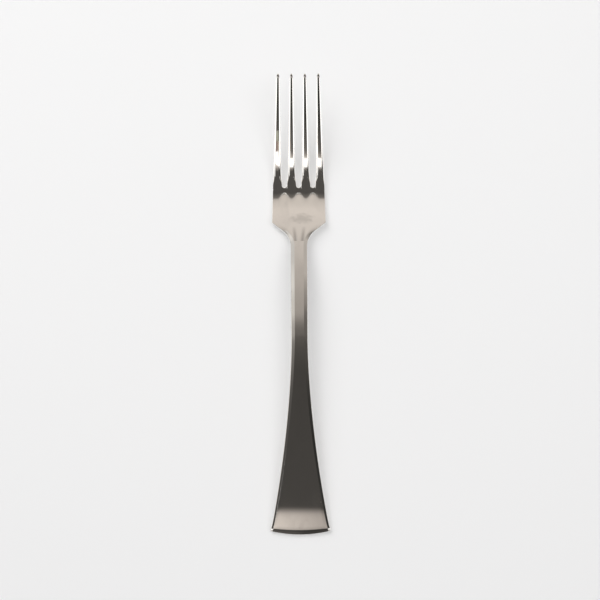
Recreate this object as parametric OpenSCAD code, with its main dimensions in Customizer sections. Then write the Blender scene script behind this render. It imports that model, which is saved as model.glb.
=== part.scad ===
// Dinner fork of polished stainless steel, forged and pressed from one blank.
// It lies on its back as on a table: tines towards +Y, handle's end towards -Y, +Z up.
// The zones of the blank are separate solids that meet face to face: handle, neck,
// head and four tines. A distance along the fork is measured from the handle's end
// and is called s. Thicknesses are measured upright.

/* [Lengths] */
// Handle, from its end to where the flare has run out into the neck
handle_len = 88; // [70:0.5:106]
// Neck, from the handle to the line where its facets stop at the palm
neck_len = 41.4; // [33:0.1:50]
// Palm, from the neck's line to the bottoms of the slots
palm_len = 23.6; // [19:0.1:28]
// Tines, from the bottoms of the slots to the tips
tine_len = 47; // [38:0.1:57]

/* [Side profile] */
// Height of the underside of the arch above the table
arch_h = 9; // [6:0.1:12]
// How quickly the handle leaves the table, as a power
rise_power = 1.5; // [1.3:0.05:1.9]
// How late the neck drops to the palm, as a power
drop_power = 1.8; // [1.4:0.05:2.2]
// Length of the handle's end that is pressed down
tail_len = 11.5; // [8:0.5:14]
// Length over which the handle turns down there
tail_turn = 0.8; // [0.5:0.05:1.2]
// Extra drop of that end
tail_drop = 0.32; // [0.2:0.01:0.5]
// Distance from the lowest line of the head back to the slot bottoms
belly_back = 7; // [5.5:0.1:8.5]
// Length over which the tines bend up from the table
tine_bend = 13; // [9:0.5:17]
// Pitch of the tines beyond that bend, in degrees
tine_pitch = 26; // [20:0.5:30]
// Metal taken off under the head by polishing, where the fork rests
head_flat_cut = 0.06; // [0.04:0.01:0.1]
// Metal taken off under the handle's end, where the fork rests
heel_flat_cut = 0.5; // [0.35:0.05:0.65]

/* [Thickness] */
// Handle at its end
handle_end_t = 2.7; // [2.2:0.1:3.4]
// Neck
neck_t = 4; // [3:0.1:5]
// Palm and the roots of the tines
palm_t = 2.2; // [1.7:0.1:2.8]
// Tines at their tips
tip_t = 1.15; // [0.9:0.05:1.5]

/* [Handle and neck] */
// Width that the handle flares to, before its corners are rounded
handle_end_w = 27; // [21.5:0.1:32]
// Width of the neck
neck_w = 7.3; // [6:0.1:9]
// How quickly the handle flares to its end, as a power
flare_power = 1.75; // [1.4:0.05:2.2]
// Width of the bevel along each edge of the neck
neck_bevel_w = 1.65; // [1.2:0.05:2]
// Drop of that bevel
neck_bevel_drop = 0.9; // [0.6:0.05:1.2]
// Width of the bevel at the handle's end
end_bevel_w = 1.05; // [0.8:0.05:1.4]
// Drop of that bevel
end_bevel_drop = 0.42; // [0.25:0.01:0.6]
// Rounding of the long edges, seen from above
edge_r = 0.35; // [0.26:0.01:0.45]
// How far the middle of the handle's end stands out beyond its corners
end_bow = 1.6; // [1:0.1:2.2]
// Length over which that curve fades out along the handle
bow_len = 9; // [6:0.5:12]
// Length over which the top of the handle's end falls to its edge
end_fall = 2.2; // [1.7:0.1:2.8]
// Length of the rounded lower edge of the handle's end
under_round = 0.7; // [0.5:0.05:0.9]
// Rounding of the handle's two corners
corner_r = 1; // [0.7:0.05:1.3]

/* [Palm] */
// Width across the shoulders
shoulder_w = 23.6; // [20:0.1:28]
// Radius of the concave curve from the neck out towards each shoulder
shoulder_r = 8.4; // [6.5:0.1:10.5]
// How far the outline turns away from the fork's length on that curve, in degrees
shoulder_turn = 52; // [46:1:58]
// Distance from the neck's line to the shoulders' corners
shoulder_rise = 8.2; // [6.5:0.1:10]
// Width across the roots of the tines
root_w = 22.7; // [19:0.1:27]
// Length of the two flutes where the neck runs out into the palm
flute_len = 6.4; // [5:0.1:7.8]
// Width of each flute
flute_w = 1.8; // [1.4:0.05:2.2]
// Depth of each flute
flute_deep = 0.32; // [0.2:0.01:0.4]
// Distance between the flutes' middles at the palm
flute_gap = 4.5; // [3.6:0.1:5.4]

/* [Tines and slots] */
// Distance between the middles of neighbouring tines at the roots
root_pitch = 6.25; // [5.5:0.05:7.3]
// The same at the tips
tip_pitch = 5.7; // [5.1:0.05:6.6]
// Radius of the round slot bottoms
slot_r = 1.1; // [0.9:0.01:1.32]
// Length over which the roots flare out to the slot bottoms
root_flare = 7; // [5.6:0.1:8.4]
// Width of a tine where that flare ends
tine_w = 3.15; // [2.6:0.05:3.7]
// Width of a tine where its point starts
tip_w = 1.5; // [1.2:0.05:1.8]
// Length of the bullet point
tip_len = 2.2; // [1.7:0.1:2.7]
// Length of each root, beyond the round slot bottom, that belongs to the head
root_stub = 1.25; // [0.9:0.05:1.6]
// Rounding of the flanks of palm, slots and tines, seen from above
flank_r = 0.45; // [0.34:0.01:0.56]

/* [Hidden] */

tines = 4;
steel = [0.74, 0.73, 0.71];
bright = [0.82, 0.81, 0.79];

// Places along the fork
neck_s = handle_len;
palm_s = neck_s + neck_len;
slot_s = palm_s + palm_len;
round_s = slot_s + slot_r;
root_s = round_s + root_stub;
total = slot_s + tine_len;
belly_s = slot_s - belly_back;
corner_s = palm_s + shoulder_rise;
point_s = total - tip_len;

// The shoulder's curve leaves the neck along the fork, turns out, and runs straight
// to the corner
shoulder_out = (shoulder_w - neck_w) / 2;
curve_out = shoulder_r * (1 - cos(shoulder_turn));
curve_tall = shoulder_r * sin(shoulder_turn);
straight_tall = (shoulder_out - curve_out) / tan(shoulder_turn);
straight_s = corner_s - straight_tall;
shoulder_s = straight_s - curve_tall;

// Slices of the surfaces: shares of the rounding at which a column of points runs,
// shares of the flat between two bevels, and shares of the run up to a slot bottom
round_shares = [0, 0.1, 0.4, 1];
flat_shares = [1, 0.66, 0.33, 0];
slot_run_shares = [0.25, 0.5, 0.68, 0.81, 0.9, 0.96, 1];
inner_share = 1.9;
slot_run = 2.2;
slot_steps = 4;
end_steps = 5;
handle_steps = 26;
neck_steps = 12;
curve_steps = 5;
straight_steps = 3;
palm_steps = 5;
root_steps = 3;
tine_steps = 15;
tip_steps = 5;

// Where the edge of the handle's end lies in its thickness, and the shares kept there
// above and below it
end_mid_share = 0.42;
end_top_share = 0.6;
end_face_share = 0.16;
// How the top's fall grows towards that edge, as a power
end_power = 1.5;
// Most of a narrow tine's width that each round flank takes
flank_share = 0.25;
// Share of the width and thickness that is kept at a tine's tip
tip_face_share = 0.14;
// Where along the neck its thickness starts to fall to the palm's, and the flutes' lean
neck_full_share = 0.5;
flute_lean_share = 0.33;

function mix(a, b, u) = a + (b - a) * u;
function limit(u) = min(1, max(0, u));
function soft(u) = (1 - cos(180 * limit(u))) / 2;
function quarter(u) = sqrt(max(0, 1 - pow(1 - limit(u), 2)));
function turned(list) = [for (i = [len(list) - 1:-1:0]) list[i]];

// Underside of the bare blank: the handle rises to the arch, the neck drops to the
// belly of the head, and the tines bend up from there
function eased(u) = ln(1 + exp(u));
function tail_z(s) =
    tail_drop * eased((tail_len - s) / tail_turn) / eased(tail_len / tail_turn);
function handle_raw(s) = arch_h * (1 - pow(1 - s / neck_s, rise_power)) - tail_z(s);
function handle_z(s) =
    arch_h - (arch_h + heel_flat_cut) * (arch_h - handle_raw(s)) / (arch_h + tail_drop);
function drop_z(s) =
    mix(arch_h, -head_flat_cut, soft(pow((s - neck_s) / (belly_s - neck_s), drop_power)));
function tine_z(s) =
    tan(tine_pitch) * (s - belly_s - tine_bend * (1 - exp((belly_s - s) / tine_bend)))
    - head_flat_cut;
function under_z(s) = s < neck_s ? handle_z(s) : s < belly_s ? drop_z(s) : tine_z(s);

// Upright thickness along the fork
thin_s = mix(neck_s, palm_s, neck_full_share);
function thick(s) =
    s < thin_s ? mix(handle_end_t, neck_t, soft(s / neck_s))
    : s < round_s ? mix(neck_t, palm_t, soft((s - thin_s) / (corner_s - thin_s)))
    : mix(palm_t, tip_t, (s - round_s) / (total - round_s));

// Half the width of handle, neck and palm
function corner_cut(s) = corner_r * (1 - quarter(s / corner_r));
function shoulder_half(s) =
    neck_w / 2 + shoulder_r - sqrt(pow(shoulder_r, 2) - pow(s - shoulder_s, 2));
function half_w(s) =
    s < neck_s ? neck_w / 2
        + (handle_end_w - neck_w) / 2 * pow(1 - s / neck_s, flare_power) - corner_cut(s)
    : s < shoulder_s ? neck_w / 2
    : s < straight_s ? shoulder_half(s)
    : s < corner_s ? shoulder_w / 2 - (corner_s - s) * tan(shoulder_turn)
    : mix(shoulder_w, root_w, (s - corner_s) / (round_s - corner_s)) / 2;

// How far the outline has turned away from the fork's length on the shoulder
function turn(s) =
    s <= shoulder_s || s > corner_s ? 0
    : s < straight_s ? asin((s - shoulder_s) / shoulder_r)
    : shoulder_turn;
function slant(s) = 1 / cos(turn(s));

// Distance of a point of the palm from the outline, square to it
function outline_gap(x, s) =
    let (side = half_w(s) - abs(x))
    s <= corner_s ? side / slant(s)
    : min(side, side * cos(shoulder_turn) + (s - corner_s) * sin(shoulder_turn));

// Bevels: they narrow towards the handle's end and run out at the shoulders
function bevel_out(s) = 1 - soft((s - palm_s) / (corner_s - palm_s));
function bevel_w(s) =
    s < neck_s ? mix(end_bevel_w, neck_bevel_w, s / neck_s)
    : mix(flank_r * inner_share, neck_bevel_w, bevel_out(s));
function bevel_drop(s) =
    s < neck_s ? mix(end_bevel_drop, neck_bevel_drop, s / neck_s)
    : neck_bevel_drop * bevel_out(s);
function edge_w(s) = mix(flank_r, edge_r, s < neck_s ? 1 : bevel_out(s));

// The two flutes, deepest at the neck's line
function flute(x, s) =
    let (along = (s - palm_s) / flute_len,
         middle = flute_gap / 2 * mix(1 - flute_lean_share, 1, limit(along)),
         across = abs(abs(x) - middle) / (flute_w / 2))
    s < palm_s || along > 1 || across > 1 ? 0
    : flute_deep * (1 + cos(180 * across)) / 2 * (1 - pow(along, 2));

// Heights of the upper and lower surface over the underside line, at a distance d
// from the outline: a bevel out to the outline, and a round edge that cuts into it
function heights(s, d, r) =
    let (fall = bevel_drop(s),
         mid = (thick(s) - fall) / 2,
         bevel = thick(s) - fall * max(0, 1 - d / max(bevel_w(s), r)))
    [mix(mid, bevel, quarter(d / r)), mix(mid, 0, quarter(d / r))];

// Heights squeezed together at a rounded end. A rim stays one line
function squeezed(h, middle, up, down) =
    [middle + (h[0] - middle) * up,
     middle + (h[1] - middle) * (h[1] == h[0] ? up : down)];

// One point of a surface pair: x, y, upper z and lower z. On a rim both are the same
function pair(x, s, y, h) = [x, y - total / 2, under_z(s) + h[0], under_z(s) + h[1]];

// A patch of skin: an upper and a lower sheet, given as rows of point pairs, and a flat
// end where it has one. The first and last columns are rims, where the sheets meet
function patch_points(rows) = concat(
    [for (row = rows) for (p = row) [p[0], p[1], p[2]]],
    [for (row = rows) for (p = row) [p[0], p[1], p[3]]]);
function patch_faces(rows, base, first_cap, last_cap) =
    let (across = len(rows[0]), count = len(rows) * across, last = len(rows) - 1)
    concat(
        sheet_faces(len(rows), across, base, false),
        sheet_faces(len(rows), across, base + count, true),
        first_cap ? cap_faces(across, 0, base, count, true) : [],
        last_cap ? cap_faces(across, last * across, base, count, false) : []);

// A closed solid between the two sheets of one patch
module sheets(rows) {
    polyhedron(patch_points(rows), patch_faces(rows, 0, true, true));
}

// Triangles of one sheet, whose points start at base
function sheet_faces(rows, across, base, below) = [
    for (j = [0:rows - 2]) for (i = [0:across - 2])
        let (a = base + j * across + i, b = a + 1, c = b + across, d = a + across)
        each below ? [[a, b, c], [a, c, d]] : [[a, c, b], [a, d, c]]];

// Triangles of the flat end between the sheets. The rims close it at both sides
function cap_faces(across, at, base, count, first) = [
    for (i = [0:across - 2])
        let (a = base + at + i, b = a + 1, c = b + count, d = a + count)
        each [if (i < across - 2) first ? [a, b, c] : [a, c, b],
              if (i > 0) first ? [a, c, d] : [a, d, c]]];

// A piece of steel ground flat where it touches the table
module ground() {
    difference() {
        children();
        translate([-handle_end_w, -total, -neck_t])
            cube([2 * handle_end_w, 2 * total, neck_t]);
    }
}

// Columns of the handle and the neck, from the left rim to the right one
function bar_right(s) = concat(
    [for (u = round_shares) half_w(s) - u * edge_w(s) * slant(s)],
    [for (u = flat_shares) u * (half_w(s) - bevel_w(s) * slant(s))]);
function bar_columns(s) = concat([for (x = bar_right(s)) -x],
    [for (i = [len(bar_right(s)) - 2:-1:0]) bar_right(s)[i]]);

// The handle's end is curved in plan. Its top falls ever steeper to the edge, and its
// underside is rounded
function bow(x, s) = end_bow * pow(max(0, 1 - s / bow_len), 2) * pow(x / half_w(s), 2);
function end_heights(s, h) =
    squeezed(h, thick(s) * end_mid_share,
        mix(end_top_share, 1, 1 - pow(1 - limit(s / end_fall), end_power)),
        mix(end_face_share, 1, quarter(s / under_round)));
function bar_row(s) = [
    for (x = bar_columns(s))
        pair(x, s, s + bow(x, s),
            end_heights(s, heights(s, (half_w(s) - abs(x)) / slant(s), edge_w(s))))];

handle_stations = concat(
    [for (i = [0:end_steps]) end_fall * (1 - cos(90 * i / end_steps))],
    [for (i = [1:handle_steps]) mix(end_fall, neck_s, i / handle_steps)]);
neck_stations = [for (i = [0:neck_steps]) mix(neck_s, palm_s, i / neck_steps)];

module handle() {
    color(steel) ground() sheets([for (s = handle_stations) bar_row(s)]);
}

module neck() {
    color(bright) sheets([for (s = neck_stations) bar_row(s)]);
}

// Flanks of a tine, counted from the left. The outer flank of an outer tine runs
// straight, and the others flare out to the slot bottoms
function pitch(s) = mix(root_pitch, tip_pitch, (s - round_s) / (total - round_s));
function middle(i, s) = (i - (tines - 1) / 2) * pitch(s);
function inner_half(s) =
    s < round_s + root_flare
        ? mix(root_pitch / 2 - slot_r, tine_w / 2, soft((s - round_s) / root_flare))
        : mix(tine_w, tip_w, (s - round_s - root_flare) / (point_s - round_s - root_flare)) / 2;
function outer_half(s) =
    mix(root_w / 2, (tines - 1) / 2 * pitch(point_s) + tip_w / 2,
        (s - round_s) / (point_s - round_s));
function left_flank(i, s) = i == 0 ? -outer_half(s) : middle(i, s) - inner_half(s);
function right_flank(i, s) = i == tines - 1 ? outer_half(s) : middle(i, s) + inner_half(s);

// Columns across a tine or its root, from flank to flank
function flank_w(i, s) =
    min(flank_r, (right_flank(i, s) - left_flank(i, s)) * flank_share);
function tine_right(i, s) = [for (u = concat(round_shares, inner_share)) u * flank_w(i, s)];
function root_columns(i, s) = concat(
    [for (o = tine_right(i, s)) left_flank(i, s) + o],
    [for (o = turned(tine_right(i, s))) right_flank(i, s) - o]);
function tine_columns(i, s) = concat(
    [for (u = round_shares) left_flank(i, s) + u * flank_w(i, s)],
    [for (u = turned(round_shares)) right_flank(i, s) - u * flank_w(i, s)]);

// Middle of a slot, counted from the left, at its round bottom
function slot_x(k) = (k + 1 - tines / 2) * root_pitch;

// The last row of the palm: roots, with the round slot bottoms between them.
// Each entry is x, the slot's turn in degrees and the slot's number, or none
last_row = [
    for (i = [0:tines - 1]) each concat(
        [for (x = root_columns(i, round_s)) [x, 0, -1]],
        i == tines - 1 ? [] : [
            for (a = [1:slot_steps - 1])
                [slot_x(i) - slot_r * cos(180 * a / slot_steps), 180 * a / slot_steps, i]])];
column_last = len(last_row) - 1;
rim_columns = len(round_shares) + 1;

// Columns keep their order from the slots back to the neck. Those of the outer
// rounding and bevel keep their distance from the outline
function palm_x(c, s) =
    let (x = last_row[c][0],
         from_rim = min(c, column_last - c),
         sign = c < column_last / 2 ? -1 : 1,
         rim_w = (from_rim == rim_columns - 1 ? bevel_w(s)
             : round_shares[min(from_rim, rim_columns - 2)] * edge_w(s)) * slant(s),
         inner = half_w(s) - bevel_w(s) * slant(s),
         inner_last = half_w(round_s) - bevel_w(round_s))
    from_rim < rim_columns ? sign * (half_w(s) - rim_w) : x * inner / inner_last;

// Distance to the nearest round slot bottom
function slot_gap(x, s) =
    min([for (k = [0:tines - 2]) norm([x - slot_x(k), s - round_s]) - slot_r]);

function palm_heights(x, s, rim) =
    let (d = rim ? 0 : max(0, min(outline_gap(x, s), slot_gap(x, s))),
         h = heights(s, d, edge_w(s)))
    [h[0] - flute(x, s), h[1]];

function palm_row(s) = [
    for (c = [0:column_last])
        let (x = palm_x(c, s), rim = c == 0 || c == column_last)
        pair(x, s, s, palm_heights(x, s, rim))];

// Rows that bend from a straight line across the palm to the round slot bottoms
run_s = slot_s - slot_run;
function is_root_flank(c) =
    last_row[c][2] < 0
    && (c == 0 || c == column_last || last_row[c - 1][2] >= 0 || last_row[c + 1][2] >= 0);
function slot_row(u) = [
    for (c = [0:column_last])
        let (e = last_row[c],
             straight = mix(run_s, round_s, u),
             s = e[2] < 0 ? straight : mix(run_s, round_s - slot_r * sin(e[1]), u),
             x = e[2] < 0 ? palm_x(c, s) : mix(palm_x(c, run_s), e[0], u),
             rim = c == 0 || c == column_last || (u == 1 && (e[2] >= 0 || is_root_flank(c))))
        pair(x, s, s, palm_heights(x, s, rim))];

shoulder_rows = concat(
    [for (i = [0:curve_steps])
        shoulder_s + shoulder_r * sin(mix(turn(palm_s), shoulder_turn, i / curve_steps))],
    [for (i = [1:straight_steps]) mix(straight_s, corner_s, i / straight_steps)]);
palm_rows = concat(
    [for (s = shoulder_rows) palm_row(min(s, corner_s))],
    [palm_row(corner_s + flank_r)],
    [for (i = [1:palm_steps]) palm_row(mix(corner_s + flank_r, run_s, i / palm_steps))],
    [for (u = slot_run_shares) slot_row(u)]);

// A root row: the tine's columns with round flanks at both sides
function flank_heights(i, x, s) =
    let (d = min(x - left_flank(i, s), right_flank(i, s) - x))
    heights(s, max(0, d), flank_w(i, s));
function root_row(i, s) =
    let (xs = root_columns(i, s), last = len(xs) - 1)
    [for (c = [0:last])
        pair(xs[c], s, s, c == 0 || c == last
            ? heights(s, 0, flank_r) : flank_heights(i, xs[c], s))];

// The head is one closed surface: two sheets of palm, four roots, and flat ends at the
// neck and at each tine. Each patch lists its own points, and equal points are one
root_size = len(root_columns(0, round_s));
slot_size = slot_steps - 1;
function root_of_palm(i) =
    let (from = i * (root_size + slot_size), row = palm_rows[len(palm_rows) - 1])
    [for (c = [from:from + root_size - 1]) row[c]];
root_rows = [
    for (i = [0:tines - 1]) concat([root_of_palm(i)],
        [for (j = [1:root_steps]) root_row(i, mix(round_s, root_s, j / root_steps))])];
palm_count = 2 * len(palm_rows) * len(palm_rows[0]);
root_count = 2 * len(root_rows[0]) * root_size;

module head() {
    color(bright) ground()
        polyhedron(
            concat(patch_points(palm_rows), [for (r = root_rows) each patch_points(r)]),
            concat(patch_faces(palm_rows, 0, true, false),
                [for (i = [0:tines - 1])
                    each patch_faces(root_rows[i], palm_count + i * root_count, false, true)]));
}

// A tine ends in a bullet point: width and thickness draw in together
function point_draw(s) =
    mix(tip_face_share, 1, quarter(1 - limit((s - point_s) / tip_len)));
function tine_row(i, s) =
    let (at = min(s, point_s), draw = point_draw(s),
         xs = tine_columns(i, at), last = len(xs) - 1,
         centre = (xs[0] + xs[last]) / 2)
    [for (c = [0:last])
        let (h = c == 0 || c == last ? heights(s, 0, flank_r) : flank_heights(i, xs[c], at))
        pair(mix(centre, xs[c], draw), s, s,
            squeezed(h, thick(s) / 2, draw, draw))];

// Rows along a tine stand closer where it bends near its root
tine_crowding = 1.3;
tine_stations = concat(
    [for (j = [0:tine_steps]) mix(root_s, point_s, pow(j / tine_steps, tine_crowding))],
    [for (j = [1:tip_steps]) point_s + tip_len * sin(90 * j / tip_steps)]);

module tine(i) {
    color(steel) sheets([for (s = tine_stations) tine_row(i, s)]);
}

handle();
neck();
head();
tine(0);  // tine_1
tine(1);  // tine_2
tine(2);  // tine_3
tine(3);  // tine_4
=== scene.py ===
import math

import bmesh
import bpy
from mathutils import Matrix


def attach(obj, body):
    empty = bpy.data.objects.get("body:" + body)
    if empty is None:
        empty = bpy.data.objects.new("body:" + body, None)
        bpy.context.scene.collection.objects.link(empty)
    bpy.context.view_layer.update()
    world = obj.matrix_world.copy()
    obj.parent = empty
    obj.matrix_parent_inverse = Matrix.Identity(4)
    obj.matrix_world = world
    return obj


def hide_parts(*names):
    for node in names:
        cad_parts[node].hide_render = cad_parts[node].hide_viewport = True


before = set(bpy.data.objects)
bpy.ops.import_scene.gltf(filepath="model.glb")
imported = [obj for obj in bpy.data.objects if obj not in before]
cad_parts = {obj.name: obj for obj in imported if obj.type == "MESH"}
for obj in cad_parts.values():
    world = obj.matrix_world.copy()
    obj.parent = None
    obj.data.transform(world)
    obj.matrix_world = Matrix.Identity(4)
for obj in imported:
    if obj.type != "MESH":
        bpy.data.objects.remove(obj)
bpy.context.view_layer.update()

# Handle: the flared grip of the forged blank, with a ground bevel along each long edge
# and a gently bowed end that is pressed down to the table. It is solid stainless steel,
# blanked and ground flat first, then pressed to its arch and polished all over.
mm = 0.001
handle_len = 88 * mm
neck_len = 41.4 * mm
palm_len = 23.6 * mm
tine_len = 47 * mm
slot_r = 1.1 * mm
palm_rise = 8.2 * mm

# Places along the fork, counted from the handle's end.
neck_s = handle_len
palm_s = neck_s + neck_len
corner_s = palm_s + palm_rise
slot_s = palm_s + palm_len
round_s = slot_s + slot_r
total = slot_s + tine_len
thin_s = (neck_s + palm_s) / 2

# Thickness of the flat blank, from one end to the other.
handle_end_t = 2.7 * mm
neck_t = 4 * mm
palm_t = 2.2 * mm
tip_t = 1.15 * mm

# Widths, bevels and round edges of the bar.
handle_end_w = 27 * mm
neck_w = 7.3 * mm
flare_power = 1.75
corner_r = 1 * mm
neck_bevel_w = 1.65 * mm
neck_bevel_drop = 0.9 * mm
end_bevel_w = 1.05 * mm
end_bevel_drop = 0.42 * mm
edge_r = 0.35 * mm
flank_r = 0.2 * mm
plain_edge_w = 0.855 * mm
crease_share = 0.03
climb_column_shares = (0.5, 1)
crease_column_shares = (-0.5, 0, 0.5, 1)
flat_column_shares = (0.86, 0.7, 0.5, 0.25)

# The shoulders start on the neck: a hollow arc, then a straight line out to the palm.
shoulder_w = 23.6 * mm
shoulder_r = 8.4 * mm
shoulder_turn = math.radians(52)
root_w = 22.7 * mm
curve_out = shoulder_r * (1 - math.cos(shoulder_turn))
straight_out = (shoulder_w - neck_w) / 2 - curve_out
straight_run = straight_out / math.sin(shoulder_turn)
straight_s = corner_s - straight_out / math.tan(shoulder_turn)
shoulder_s = straight_s - shoulder_r * math.sin(shoulder_turn)

# The handle's end bows outwards, and its top falls to a thin edge over the last stretch.
end_bow = 1.6 * mm
bow_len = 9 * mm
end_fall = 2.2 * mm
end_power = 1.5
end_top_share = 0.6
end_mid_share = 0.42
end_edge = 0.25 * mm
end_crown_share = 0.035
crown_len = 4.6 * mm
under_round = 0.7 * mm

# Rows and columns of a skin.
round_steps = 8
end_rows = 12
crown_rows = 8
row_gap = 1 * mm
spare_gap = 0.4 * mm
weld_gap = 0.0004 * mm


def mix(a, b, u):
    return a + (b - a) * u


def limit(u):
    return min(1, max(0, u))


def soft(u):
    return (1 - math.cos(math.pi * limit(u))) / 2


def quarter(u):
    return math.sqrt(max(0, 1 - (1 - limit(u)) ** 2))


def spread(start, end, steps):
    return [mix(start, end, i / steps) for i in range(steps + 1)]


def thick(s):
    """Upright thickness at a distance s from the handle's end."""
    if s < thin_s:
        return mix(handle_end_t, neck_t, soft(s / neck_s))
    if s < round_s:
        return mix(neck_t, palm_t, soft((s - thin_s) / (corner_s - thin_s)))
    return mix(palm_t, tip_t, (s - round_s) / (total - round_s))


def half_w(s):
    """Half the width of handle, neck and palm."""
    if s < neck_s:
        flare = (handle_end_w - neck_w) / 2 * (1 - s / neck_s) ** flare_power
        return neck_w / 2 + flare - corner_r * (1 - quarter(s / corner_r))
    if s < shoulder_s:
        return neck_w / 2
    if s < straight_s:
        return neck_w / 2 + shoulder_r - math.sqrt(shoulder_r ** 2 - (s - shoulder_s) ** 2)
    if s < corner_s:
        return shoulder_w / 2 - (corner_s - s) * math.tan(shoulder_turn)
    return mix(shoulder_w, root_w, (s - corner_s) / (round_s - corner_s)) / 2


def bevel_out(s):
    return 1 - soft((s - palm_s) / (corner_s - palm_s))


def bevel_w(s):
    if s < neck_s:
        return mix(end_bevel_w, neck_bevel_w, s / neck_s)
    return mix(plain_edge_w, neck_bevel_w, bevel_out(s))


def bevel_drop(s):
    if s < neck_s:
        return mix(end_bevel_drop, neck_bevel_drop, s / neck_s)
    return neck_bevel_drop * bevel_out(s)


def edge_w(s):
    return edge_r if s < neck_s else mix(flank_r, edge_r, bevel_out(s))


def crease(u):
    """Share of the bevel that is climbed, with its upper line polished a little round."""
    if u < 1 - crease_share:
        return u
    if u > 1 + crease_share:
        return 1
    return 1 - (1 + crease_share - u) ** 2 / (4 * crease_share)


def section(s, d, r, full=0):
    """Top and bottom of the flat blank at a distance d in from its outline. Its sides are
    upright with round corners, or wholly round where full is 1."""
    fall = bevel_drop(s)
    middle = (thick(s) - fall) / 2
    if d <= 0:
        return middle, middle
    bevel = thick(s) - fall * (1 - crease(d / bevel_w(s)))
    lost = 1 - quarter(d / r)
    return bevel - lost * mix(r, bevel - middle, full), lost * mix(r, middle, full)


def round_edge(r):
    """Distances from the outline at which points follow a round edge."""
    return [r * (1 - math.cos(math.pi / 2 * i / round_steps)) for i in range(round_steps + 1)]


def edge_band(s):
    """Distances from the outline over the round edge, the bevel and its upper line."""
    start, wide = edge_w(s), bevel_w(s)
    climb = [mix(start, wide * (1 - crease_share), u) for u in climb_column_shares]
    turn = [wide * (1 + crease_share * u) for u in crease_column_shares]
    return round_edge(start) + climb + turn


def slant(s):
    """Width across the fork of one unit in from the outline, where the shoulders curve."""
    if s < shoulder_s:
        return 1
    return shoulder_r / math.sqrt(shoulder_r ** 2 - (s - shoulder_s) ** 2)


def bar_columns(s):
    """Places across the handle or neck, each with its distance from the outline."""
    right = [(half_w(s) - d * slant(s), d) for d in edge_band(s)]
    inner_x, inner_d = right[-1]
    right += [(inner_x * u, inner_d) for u in flat_column_shares]
    return [(-x, d) for x, d in right] + [(0, inner_d)] + right[::-1]


def end_share(s):
    """Share of the top's height kept where the handle's end falls to its edge."""
    crown = end_crown_share * max(0, 1 - s / crown_len) ** 2
    fall = mix(end_top_share, 1, 1 - (1 - limit(s / end_fall)) ** end_power)
    return (fall - crown) * quarter(s / end_edge)


def bar_row(s):
    """One row of the handle or neck. A point has x, y, its place along the fork, top and
    bottom of the flat blank, distance to the outline and depth of a groove, as a share."""
    row = []
    keep = thick(s) * end_mid_share
    for x, d in bar_columns(s):
        bow = 0
        if s < bow_len:
            bow = end_bow * (1 - s / bow_len) ** 2 * (x / half_w(s)) ** 2
        top, bottom = section(s, d, edge_w(s))
        if s < crown_len:
            rim = top == bottom
            top = mix(keep, top, end_share(s))
            bottom = top if rim else mix(keep, bottom, quarter(s / under_round))
        row.append((x, s + bow - total / 2, s + bow, top, bottom, d, 0))
    return row


def skin(name, patches):
    """Flat blank of one zone. Each patch is a list of (row, spare): a spare row lies
    beyond the zone and only gives the skin at the cut its neighbour's slope."""
    made = bmesh.new()
    along = made.verts.layers.float.new("along")
    edge = made.verts.layers.float.new("edge")
    groove = made.verts.layers.float.new("groove")
    spare_face = made.faces.layers.int.new("spare")
    for patch in patches:
        for upper in (True, False):
            grid = []
            for row, spare in patch:
                line = []
                for x, y, s, top, bottom, inset, dip in row:
                    vert = made.verts.new((x, y, top if upper else bottom))
                    vert[along] = s
                    vert[edge] = inset
                    vert[groove] = dip
                    line.append(vert)
                grid.append((line, spare))
            for (low, low_spare), (high, high_spare) in zip(grid, grid[1:]):
                for a, b, c, d in zip(low, low[1:], high[1:], high):
                    face = made.faces.new((a, b, c, d) if upper else (a, d, c, b))
                    face[spare_face] = low_spare or high_spare
    bmesh.ops.remove_doubles(made, verts=made.verts, dist=weld_gap)
    mesh = bpy.data.meshes.new(name)
    made.to_mesh(mesh)
    made.free()
    for polygon in mesh.polygons:
        polygon.use_smooth = True
    return mesh


# The press: one tree lifts a flat blank to the fork's side profile and grinds it flat
# where it rests. Its inputs are the sizes of the dies.
press_sizes = {
    "Arch height": 9 * mm,
    "Rise power": 1.5,
    "Handle length": neck_s,
    "Tail length": 11.5 * mm,
    "Tail turn": 0.8 * mm,
    "Tail drop": 0.32 * mm,
    "Heel ground off": 0.5 * mm,
    "Drop power": 1.8,
    "Belly place": slot_s - 7 * mm,
    "Head ground off": 0.06 * mm,
    "Tine bend": 13 * mm,
    "Tine pitch": math.radians(26),
}
press = bpy.data.node_groups.new("press", "GeometryNodeTree")
press.interface.new_socket("Blank", in_out="INPUT", socket_type="NodeSocketGeometry")
for label in press_sizes:
    press.interface.new_socket(label, in_out="INPUT", socket_type="NodeSocketFloat")
press.interface.new_socket("Finish", in_out="INPUT", socket_type="NodeSocketMaterial")
press.interface.new_socket("Pressed", in_out="OUTPUT", socket_type="NodeSocketGeometry")
die = press.nodes.new("NodeGroupInput").outputs


def calc(tree, operation, *values):
    """A math node of a tree, fed with numbers or with other nodes' outputs."""
    node = tree.nodes.new("ShaderNodeMath")
    node.operation = operation
    for socket, value in zip(node.inputs, values):
        if isinstance(value, (int, float)):
            socket.default_value = value
        else:
            tree.links.new(value, socket)
    return node.outputs[0]


def shape(operation, *values):
    return calc(press, operation, *values)


def eased(ratio):
    """Rises from nothing to the ratio itself, with a soft turn between the two."""
    return shape("LOGARITHM", shape("ADD", 1, shape("EXPONENT", ratio)), math.e)


along_node = press.nodes.new("GeometryNodeInputNamedAttribute")
along_node.data_type = "FLOAT"
along_node.inputs["Name"].default_value = "along"
along = along_node.outputs["Attribute"]

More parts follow.
